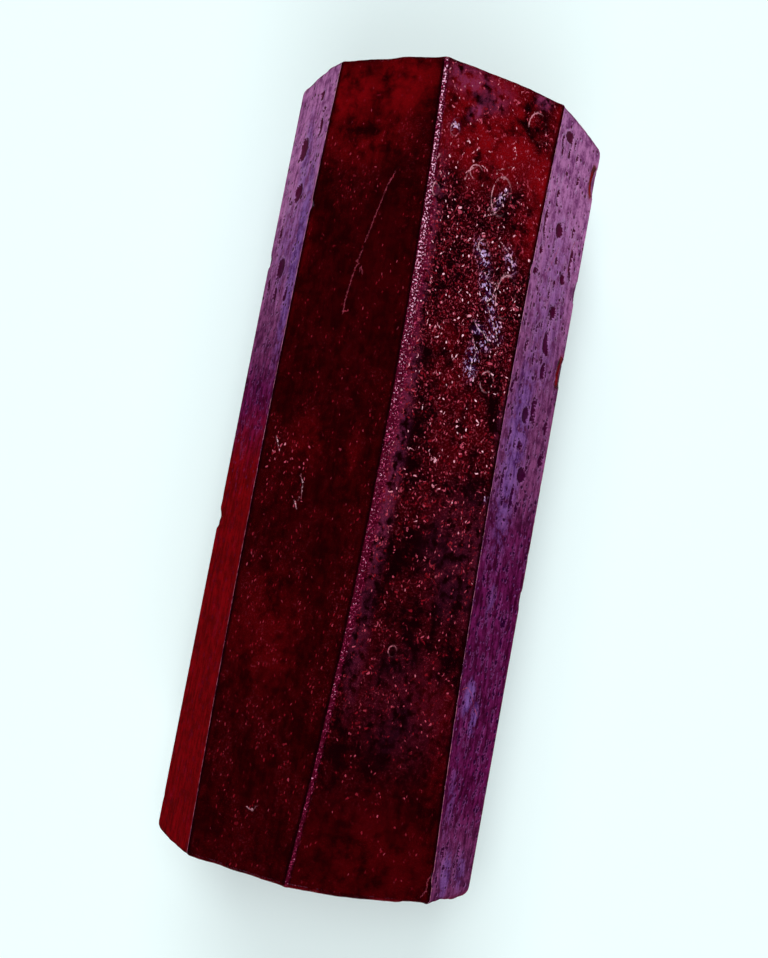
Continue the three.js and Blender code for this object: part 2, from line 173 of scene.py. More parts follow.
# Patches of another look on a face: across, along, width, length, strength, turn in degrees.
PATCHES = {
    ("clean", RIGHT_BEVEL): (
        (5.9, 43.6, 2, 4.6, 1, 0), (6, 17.7, 1.7, 4.4, 1, 0), (-5.8, -46, 2, 3, 0.5, 0),
    ),
    # Patches of painted sheen, on the prism and the bevels.
    ("cloud", RIGHT_PRISM): (
        (1.9, 48.6, 2.2, 2, 1, 20), (-7.3, 43.9, 1.4, 2.6, 0.9, -35), (-8.8, 47.6, 6.5, 3.6, 0.7, 8),
        (-5, 46.4, 5, 3.4, 0.5, 30), (-10, 2, 2.6, 30, 0.5, 1), (-9.8, -20, 2.4, 16, 0.2, 3),
        (-10.6, 25, 1.8, 24, 0.4, 0), (1.5, -9, 9, 15, 0.13, 12), (-2, -27, 11, 13, 0.08, 20),
        (3.8, 7.5, 1.4, 9, 0.28, 0), (3.8, -7, 1.6, 12, 0.2, 0),
    ),
    ("cloud", LEFT_BEVEL): (
        (3.4, 25, 3.4, 26, 0.9, 0), (0.5, 37, 3, 14, 0.7, 6), (0, 27, 7, 14, 0.5, 0),
    ),
    ("cloud", RIGHT_BEVEL): (
        (0, 24, 9, 26, 0.45, 0), (-2.5, 6, 6, 24, 0.8, 0), (-3, -25, 2.6, 4.6, 1, -12),
        (-0.8, -27.4, 2, 4.4, 0.9, -8), (-1.2, -46.4, 2.6, 6, 0.75, 0), (2.6, -46.2, 2.6, 4.4, 0.6, 0),
        (-1.5, -13, 2, 5, 0.5, -8), (-3, -37, 2, 9, 0.4, 0),
    ),
    ("glow", RIGHT_PRISM): (
        (-0.9, 43.4, 5.6, 8, 1, 15), (3.4, 38, 4.4, 10, 0.9, 10), (2.4, 31.5, 4.4, 7, 0.75, 0),
        (5, 46, 3.8, 6, 0.7, 0), (-5, 43, 14, 14, 0.9, 0), (-5, 14, 5, 8, 0.25, 0),
        (-1, 6, 8, 9, 0.12, 0), (-2, -45, 16, 12, 0.12, 0), (1, -25, 6, 7, 0.12, 20),
        (3.6, -32, 3, 16, 0.15, 0),
    ),
    ("glow", LEFT_PRISM): (
        (7.5, -1, 2.6, 8, 0.15, 0), (-4, 45, 12, 7, 0.75, 0), (5, 46, 9, 8, 0.7, 0),
        (1, 40, 12, 8, 0.4, 0), (0.6, 1.6, 5, 6, 0.2, -10), (0, -22, 10, 14, 0.2, 10),
        (-6, 24, 3, 16, 0.25, 0),
    ),
    ("glow", RIGHT_UNDER_PRISM): ((0, 10, 9, 22, 0.7, 10),),
    ("glow", LEFT_UNDER_PRISM): ((1, -12, 9, 20, 0.7, -10),),
    ("spark", LEFT_PRISM): (
        (-3.4, 0.6, 1.9, 4.2, 1, -10), (1.3, -3.6, 0.7, 3, 1, -12), (0.8, -6.2, 1, 1.8, 0.9, -12),
        (-1.4, -1.4, 4.2, 7, 0.4, -20), (3.2, -41.8, 1.6, 1.8, 0.5, 0),
    ),
    ("spark", RIGHT_PRISM): (
        (-3, 27, 1.6, 4.2, 1, 32), (-1.4, 22.6, 1.6, 5.4, 1, 24), (0.3, 19, 1.8, 3.4, 0.9, 30),
        (-1.3, 17.6, 1.7, 3.4, 1, 40), (-2, 14.4, 1.8, 4.2, 1, 0), (0.9, 27.6, 1.4, 3.4, 0.7, 30),
        (3.3, -1.2, 0.8, 1.3, 1, 0), (-9.8, 41.3, 1.2, 1.5, 1, 0), (-1.9, 34.6, 0.9, 3.2, 1, -22),
    ),
    ("spark", RIGHT_BEVEL): (
        (-1, -14, 1.3, 6, 0.5, 0), (-0.6, -44, 1.6, 4, 0.4, 0),
    ),
}

PATCH_REACH = 2.2  # how far out a patch is felt, squared, in half widths
PATCH_FADE = 0.7  # how soon it fades

# Thin lines painted bright as glints, as points across and along: veins, hairline cracks, scratches.
BRIGHT_LINES = {
    LEFT_PRISM: (
        ((6.3, 35.2), (5.4, 33.4), (4.8, 31), (4.3, 29.2), (3.7, 26.6), (3.1, 23.8),
         (2.7, 22), (2.3, 19), (2.3, 17.6)),
        ((4.3, 29.2), (4.1, 28.1), (3.8, 26.9)), ((3, 23.7), (3.7, 23.2), (4, 22.5)),
        ((0.8, -2.8), (1.2, -3.5)), ((1.3, -4.2), (1.4, -5.1)), ((0.6, -5.9), (1, -6.6)),
        ((-3.9, 1.5), (-3.5, 0.7)), ((2.9, -41.7), (3.6, -41.9), (4, -41.2)),
    ),
    RIGHT_PRISM: (
        ((-4, 28), (-3.1, 27), (-2.4, 26.6)), ((-2.4, 25.2), (-1.5, 24.3), (-0.9, 24.3)),
        ((0.4, 25.9), (-0.3, 24.7), (-0.6, 23.5), (-0.8, 22.5), (-1.2, 22.3)),
        ((-1.7, 22.3), (-1.1, 21.5), (-0.7, 20.6), (-0.1, 19.7), (0.5, 18.9), (0.9, 17.9)),
        ((-2.7, 19.2), (-1.9, 18.4), (-1.1, 18.1), (-0.2, 17.2)),
        ((-2.3, 16.9), (-1.6, 15.6), (-2, 14.3), (-2, 13.1)),
        ((-1.1, 29.7), (-0.2, 29), (0.8, 28.3), (1.3, 26.9)),
        ((-3.4, 32.9), (-2.6, 34.2), (-1.3, 35.5)), ((-3.6, 32), (-2.4, 32.6), (-1.6, 34)),
        ((-7.2, 35.6), (-7, 36.5), (-6.4, 37.1)), ((-2.9, 38), (-1.5, 38.8)),
        ((-11.6, 36.4), (-11.2, 37.1)),
        ((5.9, -46.1), (5.5, -46.9), (5.7, -47.9), (5.2, -48.6)),
    ),
    RIGHT_BEVEL: (
        ((-0.4, 32.2), (-1.2, 30.4), (-2.4, 28.6)), ((3.2, 30.5), (3.9, 34.4)),
        ((-5, -24.1), (-3.8, -23.8), (-2.5, -24.5), (-1.4, -25.9), (-0.2, -27)),
    ),
}

# ---------- new objects ----------

def add_object(name, data):
    made = bpy.data.objects.new(name, data)
    bpy.context.scene.collection.objects.link(made)
    return made


def add_mesh(name, mesh, material):
    data = bpy.data.meshes.new(name)
    mesh.to_mesh(data)
    mesh.free()
    data.materials.append(material)
    return add_object(name, data)


# ---------- the camera ----------

CAMERA_AWAY = 171.0  # from the crystal's middle to the lens
CAMERA_TILT = math.radians(-5.454)  # towards the near end
CAMERA_ROLL = math.radians(10.758)  # the crystal's lean in the view
CAMERA_SWING = math.radians(-2.802)  # round the crystal's length
CAMERA_SLIDE = (-0.2025, 0.4125)  # sideways and up
SENSOR = 36.0  # along the view's long side
LENS = 48.46  # focal length on that sensor


def make_camera():
    tilt = Matrix.Rotation(CAMERA_TILT, 3, "X")
    roll = Matrix.Rotation(-CAMERA_ROLL, 3, "Z")
    swing = Matrix.Rotation(CAMERA_SWING, 3, "Y")
    to_lens = roll @ tilt @ swing
    data = bpy.data.cameras.new("camera")
    data.lens = LENS
    data.sensor_width = SENSOR
    data.clip_start = 0.01
    camera = add_object("camera", data)
    stand = Vector((*CAMERA_SLIDE, CAMERA_AWAY))
    place = (to_lens.transposed() @ stand + AXIS) * MM
    camera.matrix_world = Matrix.Translation(place) @ to_lens.transposed().to_4x4()
    bpy.context.scene.camera = camera


# ---------- the faces and their edges ----------

def outward(face):
    """The way a face looks, as x and z."""
    angle = face * FACE_TURN
    return Vector((math.sin(angle), math.cos(angle)))


def sideways(face):
    """The way across a face, as x and z."""
    angle = face * FACE_TURN
    return Vector((math.cos(angle), -math.sin(angle)))


def meet(angle_a, out_a, angle_b, out_b):
    """Where two faces meet, as x and z in a section."""
    spread = math.sin(angle_b - angle_a)
    x = (out_b * math.cos(angle_a) - out_a * math.cos(angle_b)) / spread
    z = (out_a * math.sin(angle_b) - out_b * math.sin(angle_a)) / spread
    return Vector((x, z))


def out_at(face, along):
    """How far a face stands from the axis at a place along the crystal."""
    s = along / HALF_LENGTH
    if face == RIDGE:
        sharp = meet(-FACE_TURN, out_at(LEFT_PRISM, along), FACE_TURN, out_at(RIGHT_PRISM, along))
        away = (along - RIDGE_MORE_AT) / RIDGE_MORE_SPREAD
        return sharp.y - RIDGE_WORN - RIDGE_MORE * math.exp(-away * away)
    out, lean, bow, _ = FACES[face]
    return out + lean * s + bow * s * s


def corner_after(face, along):
    """The long edge after a face, at a place along the crystal."""
    after = (face + 1) % len(FACES)
    turn = face * FACE_TURN
    return meet(turn, out_at(face, along), turn + FACE_TURN, out_at(after, along))


def corners_of(face, along):
    return corner_after((face - 1) % len(FACES), along), corner_after(face, along)


# ---------- the broken ends ----------

def bare_end(end, x, z):
    """How far an end stands from the middle before its hollows."""
    reach = HALF_LENGTH + END_LEAN[end] * x
    for side, bump_x, bump_z, spread, high in END_BUMPS:
        if side == end:
            up = 0.0 if bump_z is None else z - bump_z
            reach += high * math.exp(-((x - bump_x) ** 2 + up ** 2) / spread)
    return reach - END_FALL[end] * max(0.0, x - END_FALL_FROM) ** 2


def end_noise(end, x, z, fine, row):
    """Noise over a broken end: how fine, and from which row of the noise."""
    return noise.noise(Vector((x * fine, end * row, z * fine)))


def end_surface(end, x, z):
    """How far a broken end stands from the middle, hollows and all."""
    lumps = 0.12 * end_noise(end, x, z, fine=0.33, row=9.0)
    reach = bare_end(end, x, z) + lumps + 0.03 * end_noise(end, x, z, fine=1.3, row=4.0)
    for side, centre_x, centre_z, wide, high, deep, turn in END_SCOOPS:
        if side != end:
            continue
        dx, dz = x - centre_x, z - centre_z
        u = (dx * math.cos(turn) - dz * math.sin(turn)) / (wide / 2 / SCOOP_RIM)
        v = (dx * math.sin(turn) + dz * math.cos(turn)) / (high / 2 / SCOOP_RIM)
        inside = 1 - u * u - v * v
        if inside > 0:
            from_centre = math.sqrt(u * u + v * v)
            sway = RIPPLE_SWAY * end_noise(end, x, z, fine=0.16, row=5.0)
            wave = math.sin(RIPPLE_COUNT * from_centre ** RIPPLE_CLOSING + sway)
            ripple = RIPPLE_HIGH * from_centre * wave
            hackle = 0.1 * end_noise(end, x, z, fine=0.9, row=3.0)
            floor = bare_end(end, centre_x, centre_z) + deep - 2 * deep * math.sqrt(inside)
            reach = min(reach, floor + ripple * deep + hackle)
    return reach


def rim_wear(x, z):
    """How far an end's rim is worn round, most at the crystal's two sides."""
    swing = 0.4 * math.sin(x * 0.31 + 1) * math.cos(z * 0.27)
    return RIM_ROUND * (1 + swing + 2.4 * (x / 20) ** 6)


# ---------- relief on the faces ----------

class Oval:
    """A turned oval on a face, with how deep or strong it is."""

    def __init__(self, across, along, wide, long, strength, turn=0.0):
        self.across = across
        self.along = along
        self.half_wide = wide / 2
        self.half_long = long / 2
        self.strength = strength
        self.cos = math.cos(turn)
        self.sin = math.sin(turn)

    def shares(self, across, along):
        """How far out a place is across and along the oval, its rim being at 1."""
        dx, dy = across - self.across, along - self.along
        u = (dx * self.cos + dy * self.sin) / self.half_wide
        v = (dy * self.cos - dx * self.sin) / self.half_long
        return u, v

    def gap(self, across, along):
        """How far a place is outside the rim, in millimetres; inside it is below 0."""
        return (math.hypot(*self.shares(across, along)) - 1) * self.half_wide

    def depth(self, gap):
        """How deep a pit of this shape is at such a gap."""
        if gap >= 0:
            return 0.0
        share = 1 + gap / self.half_wide
        return self.strength * min(1.0, 1.7 * (1 - share * share))


PATCH_OVALS = {
    place: [Oval(*shape, math.radians(turn)) for *shape, turn in shapes]
    for place, shapes in PATCHES.items()
}
RING_OVALS = [Oval(*shape, GROOVE_DEEP) for shape in RING_GROOVES]
NO_PIT = 2.0  # the gap where no pit or ring is near
NO_LINE = 9.0  # and where no line is
PITS_WITHIN = 46.5  # scattered pits stay this near the middle
PIT_LEAST_WIDE = 0.28


def line_gap(lines, across, along):
    """How far the nearest of some bent lines is, and how far to one side of it."""
    best, side = NO_LINE, NO_LINE
    for line in lines:
        for (x0, y0), (x1, y1) in zip(line, line[1:]):
            run_x, run_y = x1 - x0, y1 - y0
            dx, dy = across - x0, along - y0
            length = math.hypot(run_x, run_y)
            share = (dx * run_x + dy * run_y) / (length * length)
            share = min(1.0, max(0.0, share))
            here = math.hypot(dx - share * run_x, dy - share * run_y)
            if here < best:
                best = here
                side = (dx * run_y - dy * run_x) / length
    return best, side


def in_patches(kind, face, across, along):
    """How strongly a place lies in patches of one kind, from 0 to 1."""
    total = 0.0
    for patch in PATCH_OVALS.get((kind, face), ()):
        u, v = patch.shares(across, along)
        away = u * u + v * v
        if away < PATCH_REACH:
            total = max(total, patch.strength * math.exp(-away * away * PATCH_FADE))
    return total


def scattered_pits(face, draw):
    """Pits strewn over a face, small ones more often than long ones."""
    count, longest, margin = SCATTER[face]
    side = sideways(face)
    pits = []
    for _ in range(count):
        along = draw.uniform(-PITS_WITHIN, PITS_WITHIN)
        start, end = (corner.dot(side) for corner in corners_of(face, along))
        across = draw.uniform(start + margin, end - margin)
        long = longest * draw.uniform(0.3, 1.0) ** 1.5
        wide = max(PIT_LEAST_WIDE, long * draw.uniform(0.25, 0.5))
        deep = draw.uniform(0.35, 0.6) * min(wide, 0.5)
        pits.append(Oval(across, along, wide, long, deep, draw.uniform(-0.12, 0.12)))
    return pits


def rolling(high, place):
    """Soft noise from 0 to twice a height."""
    return high * (1 + noise.noise(place))


class Relief:
    """How far each face lies in from its plane, at a place on it."""

    def __init__(self, seed):
        draw = random.Random(seed)
        self.shelves = {}
        for face in FACES:
            pits = [Oval(*values) for values in LARGE_PITS.get(face, ())]
            if face in SCATTER:
                pits += scattered_pits(face, draw)
            shelf = self.shelves[face] = {}
            for pit in pits:
                first = math.floor(pit.along - pit.half_long - 0.5)
                last = math.floor(pit.along + pit.half_long + 0.5)
                for step in range(first, last + 1):
                    shelf.setdefault(step, []).append(pit)

    def nearest(self, face, across, along):
        """The gap to the nearest pit, and the depth there."""
        gap, depth = NO_PIT, 0.0
        for pit in self.shelves[face].get(math.floor(along), ()):
            here = pit.gap(across, along)
            gap = min(gap, here)
            depth = max(depth, pit.depth(here))
        return gap, depth

    def ring(self, across, along):
        """The gap to the nearest ring's line, inside it below 0, and how bright its painted highlight
        is there.
        """
        gap, lit_share = NO_PIT, 0.0
        for groove in RING_OVALS:
            here = groove.gap(across, along)
            if abs(here) < abs(gap):
                gap = here
                u, v = groove.shares(across, along)
                lit_share = 0.5 + 0.5 * math.cos(math.atan2(v, u) - GROOVE_LIT_SIDE)
        return gap, lit_share

    def rings(self, across, along):
        gap, lit_share = self.ring(across, along)
        away = abs(gap) / GROOVE_HALF
        if away >= 1:
            return 0.0
        return GROOVE_DEEP * (0.4 + 0.6 * lit_share) * (1 - away * away)

    def at(self, face, across, along):
        """Millimetres in from the face, never negative."""
        if face == REST:
            return 0.0
        pits = self.nearest(face, across, along)[1]
        if face == RIDGE:
            return rolling(0.05, Vector((across, along * 0.7, 7.0)) * 2.1) + pits
        rings = 0.0
        inward = rolling(0.05, Vector((across, along * 0.12, face * 17.0)) * 0.35)
        if face in RIGHT_ETCHED + LEFT_ETCHED:
            inward += rolling(0.03, Vector((across * 1.7, along * 0.09, face)))
        elif face == RIGHT_PRISM:
            place = Vector((across, along * 0.8, 3.0))
            inward += rolling(0.03, place * 1.6) + rolling(0.04, place * 0.7)
            rings = self.rings(across, along)
        return inward + pits + rings


# Nicks in the long edges, large and small: depth, how rare, how fine, row of the noise.
EDGE_NICKS = ((0.12, 0.25, 0.55, 1.0), (0.07, 0.3, 1.9, 5.0))


def edge_nick(edge, along):
    """How far an edge is knocked in, in a few places along it."""
    nick = 0.0
    if edge in (REST, RIGHT_UNDER_PRISM):
        return nick
    for deep, rare, fine, row in EDGE_NICKS:
        knock = noise.noise(Vector((along * fine, edge * 13.0, row)))
        nick += deep * max(0.0, knock - rare)
    return nick


# ---------- what the surface is like from place to place ----------

STATES = (
    "etched", "rough", "rubbed", "broken", "painted_shade", "clean_and_reflected_red", "cloud", "glow", "spark",
    "scratched", "from_edge", "pit_gap", "vein_gap", "vein_side", "ring_gap", "ring_highlight",
)


def ramp(value, low, high):
    return min(1.0, max(0.0, (value - low) / (high - low)))


def between(stops, along):
    """A value read off stops along the crystal, from the far end to the near end."""
    for (above, high), (below, low) in zip(stops, stops[1:]):
        if along >= below:
            return low + (high - low) * ramp(along, below, above)
    return stops[-1][1]


# How rough the right prism is, and how many painted glints it has, along the crystal.
ROUGHNESS_AND_GLINTS_DOWN_PRISM = (
    (49, 0.65), (42, 0.75), (36, 0.85), (30, 1.0), (14, 0.95), (5, 0.8), (-3, 0.6), (-17, 0.38),
    (-30, 0.28), (-38, 0.14), (-42, 0.06), (-49, 0.03),
)
# How many painted glints the left prism has, along the crystal.
SCRATCH_GLINTS_DOWN_LEFT = (
    (49, 0.0), (42.5, 0.1), (41, 0.6), (35, 0.5), (30, 0.1), (18, 0.15), (7, 0.45), (-8, 0.3),
    (-14, 0.6), (-30, 0.6), (-49, 0.3),
)
RUB_DOWN_RIDGE = (
    (49, 1.12), (42, 1.1), (36, 1.06), (28, 1.1), (18, 0.98), (10, 0.8), (-3, 0.75), (-16, 0.72),
    (-30, 0.66), (-46, 0.6),
)
RUB_WIDTH = ((49, 0.25), (38, 0.3), (30, 0.8), (14, 1.1), (0, 1.0), (-14, 0.9), (-26, 0.4), (-46, 0.3))
# Painted shade over the right etched faces: none towards the far end, most towards the near end.
SHADE_DOWN_RIGHT = (
    (38, 0.0), (26, 0.25), (17, 0.6), (3, 0.72), (-4, 0.97), (-10, 1.0), (-38, 1.0), (-47, 0.8),
)
FAR_FROM_EDGE = 4.0  # distances from an edge count up to this
SHADE_FURTHER = 0.25  # how much more painted shade each etched face further round gets
WINE_FURTHER_RIGHT = 0.15  # how much redder on the right
WINE_LESS_LEFT = 0.2  # and how much less red on the left
# Painted shade over the left etched faces, growing towards the near end.
SHADE_DOWN_LEFT = ((40, 0.0), (32, 0.2), (22, 0.5), (8, 1.0))
# A painted red reflection over the left etched faces, growing towards the near end.
RED_REFLECTION_DOWN_LEFT = ((17, 0.0), (7, 0.2), (-1, 0.75), (-7, 1.0))


def state_of(relief, face, share, across, along):
    """What the surface is like a share of the way over a face."""
    state = dict.fromkeys(STATES, 0.0)
    start, end = corners_of(face, along)
    width = (end - start).length
    state["from_edge"] = min(FAR_FROM_EDGE, min(share, 1 - share) * width)
    for kind in ("cloud", "glow", "spark"):
        state[kind] = in_patches(kind, face, across, along)
    state["pit_gap"] = relief.nearest(face, across, along)[0]
    lines = BRIGHT_LINES.get(face, ())
    state["vein_gap"], state["vein_side"] = line_gap(lines, across, along)
    state["ring_gap"] = NO_PIT
    clean = in_patches("clean", face, across, along)
    state["glow"] = max(state["glow"], clean)
    if face in RIGHT_ETCHED + LEFT_ETCHED:
        state["etched"] = 1 - clean
    if face in RIGHT_ETCHED:
        further = face - RIGHT_BEVEL
        state["painted_shade"] = min(1.0, between(SHADE_DOWN_RIGHT, along) + SHADE_FURTHER * further)
        state["clean_and_reflected_red"] = max(clean, WINE_FURTHER_RIGHT * further)
    elif face in LEFT_ETCHED:
        further = LEFT_BEVEL - face
        state["painted_shade"] = min(1.0, between(SHADE_DOWN_LEFT, along) + SHADE_FURTHER * further)
        clean_and_reflected_red = between(RED_REFLECTION_DOWN_LEFT, along)
        state["clean_and_reflected_red"] = max(clean, clean_and_reflected_red * (1 - WINE_LESS_LEFT * further))
    elif face in (RIGHT_UNDER_PRISM, LEFT_UNDER_PRISM):
        state.update(rough=0.3, scratched=0.5)
    elif face == LEFT_PRISM:
        state["scratched"] = between(SCRATCH_GLINTS_DOWN_LEFT, along)
    elif face == RIGHT_PRISM:
        state["rough"] = between(ROUGHNESS_AND_GLINTS_DOWN_PRISM, along)
        worn = min(1.0, between(RUB_DOWN_RIDGE, along))
        state["rubbed"] = worn * math.exp(-(share * width / between(RUB_WIDTH, along)) ** 2)
        state["ring_gap"], state["ring_highlight"] = relief.ring(across, along)
    elif face == RIDGE:
        state.update(rubbed=between(RUB_DOWN_RIDGE, along), rough=0.8, cloud=0.15)
    return state


# ---------- the crystal's mesh ----------

RIM_LOOK = 1.5  # how far in from an end its rim is measured


def columns_round():
    """The mesh's columns: each a face and a share of its width."""
    columns = []
    for face, (_, _, _, column) in FACES.items():
        start, end = corners_of(face, 0.0)
        width = (end - start).length
        bands = [band / width for band in EDGE_BANDS if band < width / 3]
        inner = max(2, round((width - 2 * EDGE_BANDS[-1]) / column))
        first = bands[-1] if bands else 0.0
        shares = [0.0] + bands
        shares += [first + (1 - 2 * first) * step / inner for step in range(1, inner)]
        shares += [1 - band for band in reversed(bands)]
        columns += [(face, share) for share in shares]
    return columns


def stations_along():
    """The mesh's rings: the near rim, the sides, the far rim."""
    rim = [step / RIM_STEPS for step in range(1, RIM_STEPS + 1)]
    count = round(2 * HALF_LENGTH / STATION_STEP)
    sides = [(BETWEEN, step / count) for step in range(count + 1)]
    return [(NEAR, share) for share in reversed(rim)] + sides + [(FAR, share) for share in rim]


class Loft:
    """Where each point of the rolled sheet lies, and its state."""

    def __init__(self):
        self.relief = Relief(seed=11)
        self.columns = columns_round()
        self.stations = stations_along()
        self.rims = [self.rims_of(column) for column in range(len(self.columns))]

    def rims_of(self, column):
        """Where a column leaves the near rim and reaches the far one."""
        rims = []
        for end in (NEAR, FAR):
            edge = self.section_point(column, end * (HALF_LENGTH - RIM_LOOK))
            rims.append(end * (end_surface(end, edge.x, edge.y) - rim_wear(edge.x, edge.y)))
        return rims

    def across(self, face, share, along):
        """Millimetres across a face, for a share of its width."""
        side = sideways(face)
        start, end = corners_of(face, along)
        return start.dot(side) * (1 - share) + end.dot(side) * share

    def section_point(self, column, along):
        """A point of the section, with its relief, as x and z."""
        face, share = self.columns[column]
        start, end = corners_of(face, along)
        point = start.lerp(end, share)
        width = (end - start).length
        before = (face - 1) % len(FACES)
        from_start, to_end = share * width, (1 - share) * width
        nick = max(
            edge_nick(before, along) * max(0.0, 1 - from_start / NICK_REACH),
            edge_nick(face, along) * max(0.0, 1 - to_end / NICK_REACH),
        )
        if share == 0.0:
            bisector = (outward(before) + outward(face)).normalized()
            wear = EDGE_WEAR if REST not in (before, face) else 0.0
            return point - bisector * (wear + nick)
        fade = min(1.0, min(from_start, to_end) / RELIEF_FADE)
        inward = nick + fade * self.relief.at(face, point.dot(sideways(face)), along)
        return point - outward(face) * inward

    def place(self, column, ring):
        """The point of one column on one ring, in millimetres from the crystal's middle."""
        end, share = self.stations[ring]
        near_rim, far_rim = self.rims[column]
        if end == BETWEEN:
            along = near_rim + (far_rim - near_rim) * share
            point = self.section_point(column, along)
            return Vector((point.x, along, point.y))
        point = self.section_point(column, near_rim if end == NEAR else far_rim)
        wear = rim_wear(point.x, point.y)
        angle = share * math.pi / 2
        shrink = 1 - wear * (1 - math.cos(angle)) / point.length
        point = point * shrink
        chatter = 0.05 * (1 + end_noise(end, point.x, point.y, fine=0.8, row=2.0))
        reach = end_surface(end, point.x, point.y) - wear * (1 - math.sin(angle))
        return Vector((point.x, end * (reach - chatter * math.sin(2 * angle)), point.y))

    def state(self, column, ring, along):
        """What the surface is like at that point."""
        face, share = self.columns[column]
        state = state_of(self.relief, face, share, self.across(face, share, along), along)
        if share == 0.0:
            before = (face - 1) % len(FACES)
            across = self.across(before, 1.0, along)
            other = state_of(self.relief, before, 1.0, across, along)
            state = {name: (state[name] + other[name]) / 2 for name in STATES}
        end, rim_share = self.stations[ring]
        if end != BETWEEN:
            state["broken"] = rim_share
        return state


def scoop_chips(point):
    """Moves a point in where a chip is missing from a long edge."""
    for edge, along, wide, long, deep in EDGE_CHIPS:
        away = (point.y - along) / (long / 2)
        if abs(away) >= 1:
            continue
        corner = corner_after(edge, along)
        angle = (edge + 0.5) * FACE_TURN
        out = Vector((math.sin(angle), math.cos(angle)))
        side = Vector((out.y, -out.x))
        flat = Vector((point.x, point.z)) - corner
        u = flat.dot(side) / (wide / 2 + deep)
        inside = 1 - u * u - away * away
        if inside <= 0:
            continue
        floor = deep - 2 * deep * math.sqrt(inside)
        over = flat.dot(out) - floor
        if over > 0:
            point.x -= out.x * over
            point.z -= out.y * over
    return point


def roll_sheet(mesh, loft):
    """Rolls a flat sheet into the crystal's sides and rims, and closes its seam."""
    round_count, ring_count = len(loft.columns), len(loft.stations)
    uv = mesh.loops.layers.uv.new("faces")
    layers = {name: mesh.verts.layers.float.new(name) for name in STATES}
    bmesh.ops.create_grid(mesh, x_segments=round_count, y_segments=ring_count - 1, size=1.0)
    places = {}
    for vert in mesh.verts:
        across, along = (vert.co.x + 1) / 2, (vert.co.y + 1) / 2
        places[vert] = (round(across * round_count), round(along * (ring_count - 1)))
    for quad in mesh.faces:
        low = min(places[loop.vert][0] for loop in quad.loops)
        face = loft.columns[low][0]
        for loop in quad.loops:
            column, ring = places[loop.vert]
            share = loft.columns[low][1] if column == low else 1.0
            if column > low and column < round_count and loft.columns[column][0] == face:
                share = loft.columns[column][1]
            along = (ring / (ring_count - 1) * 2 - 1) * HALF_LENGTH
            loop[uv].uv = (loft.across(face, share, along) + PATTERN_STEP * face, along)
    for vert, (column, ring) in places.items():
        vert.co = scoop_chips(loft.place(column % round_count, ring))
        for name, value in loft.state(column % round_count, ring, vert.co.y).items():
            vert[layers[name]] = value
    first = {ring: vert for vert, (column, ring) in places.items() if column == 0}
    last = {vert: ring for vert, (column, ring) in places.items() if column == round_count}
    bmesh.ops.weld_verts(mesh, targetmap={vert: first[ring] for vert, ring in last.items()})


def close_end(mesh, end):
    """Closes one end with a face, cuts it into a grid and breaks it."""
    border = [edge for edge in mesh.edges if edge.is_boundary and edge.verts[0].co.y * end > 0]
    made = bmesh.ops.contextual_create(mesh, geom=border)["faces"]
    inside = set(made)
    for axis in (Vector((1, 0, 0)), Vector((0, 0, 1))):
        steps = int(END_REACH / END_STEP)
        for step in range(-steps, steps + 1):
            edges = {edge for face in inside for edge in face.edges}
            verts = {vert for face in inside for vert in face.verts}
            cut = bmesh.ops.bisect_plane(
                mesh,
                geom=[*inside, *edges, *verts],
                dist=1e-5,
                plane_co=axis * (step * END_STEP + END_SHIFT),
                plane_no=axis,
            )
            inside |= {item for item in cut["geom"] if isinstance(item, bmesh.types.BMFace)}
            inside = {face for face in inside if face.is_valid}
    uv = mesh.loops.layers.uv["faces"]
    for face in inside:
        for loop in face.loops:
            loop[uv].uv = (loop.vert.co.x + PATTERN_STEP * END_PATTERNS[end], loop.vert.co.z)
    values = dict.fromkeys(STATES, 0.0)
    values.update(broken=1.0, pit_gap=NO_PIT, vein_gap=NO_LINE, ring_gap=NO_PIT, from_edge=2.0)
    layers = {name: mesh.verts.layers.float[name] for name in STATES}
    for vert in {vert for face in inside for vert in face.verts}:
        vert.co.y = end * end_surface(end, vert.co.x, vert.co.z)
        for name, value in values.items():
            vert[layers[name]] = value


def make_crystal():
    """The crystal's closed mesh, in its place in the frame."""
    loft = Loft()
    mesh = bmesh.new()
    roll_sheet(mesh, loft)
    for end in (NEAR, FAR):
        close_end(mesh, end)
    bmesh.ops.triangulate(mesh, faces=[face for face in mesh.faces if len(face.verts) > 4])
    bmesh.ops.recalc_face_normals(mesh, faces=mesh.faces[:])
    if mesh.calc_volume(signed=True) < 0:
        bmesh.ops.reverse_faces(mesh, faces=mesh.faces[:])
    for vert in mesh.verts:
        spot = (vert.co + AXIS) * MM
        for axis in range(3):
            spot[axis] = min(max(spot[axis], cad_low[axis]), cad_high[axis])
        vert.co = spot
    for face in mesh.faces:
        face.smooth = True
    return add_mesh("crystal_surface", mesh, red_beryl())


# ---------- writing shaders ----------

class Wire:
    """A value in a node tree, so that shader maths reads as plain arithmetic."""

    def __init__(self, shader, socket):
        self.shader = shader
        self.socket = socket

    def __add__(self, other):
        return self.shader.math("ADD", self, other)

    def __sub__(self, other):
        return self.shader.math("SUBTRACT", self, other)

    def __rsub__(self, other):
        return self.shader.math("SUBTRACT", other, self)

    def __mul__(self, other):
        return self.shader.math("MULTIPLY", self, other)

    def __abs__(self):
        return self.shader.math("ABSOLUTE", self, 0.0)

    def output(self, index):
        """Another output of the same node."""
        return Wire(self.shader, self.socket.node.outputs[index])

    __radd__ = __add__
    __rmul__ = __mul__


def opaque(colour):
    """A colour as a socket takes it."""
    return colour if isinstance(colour, Wire) else (*colour, 1.0)


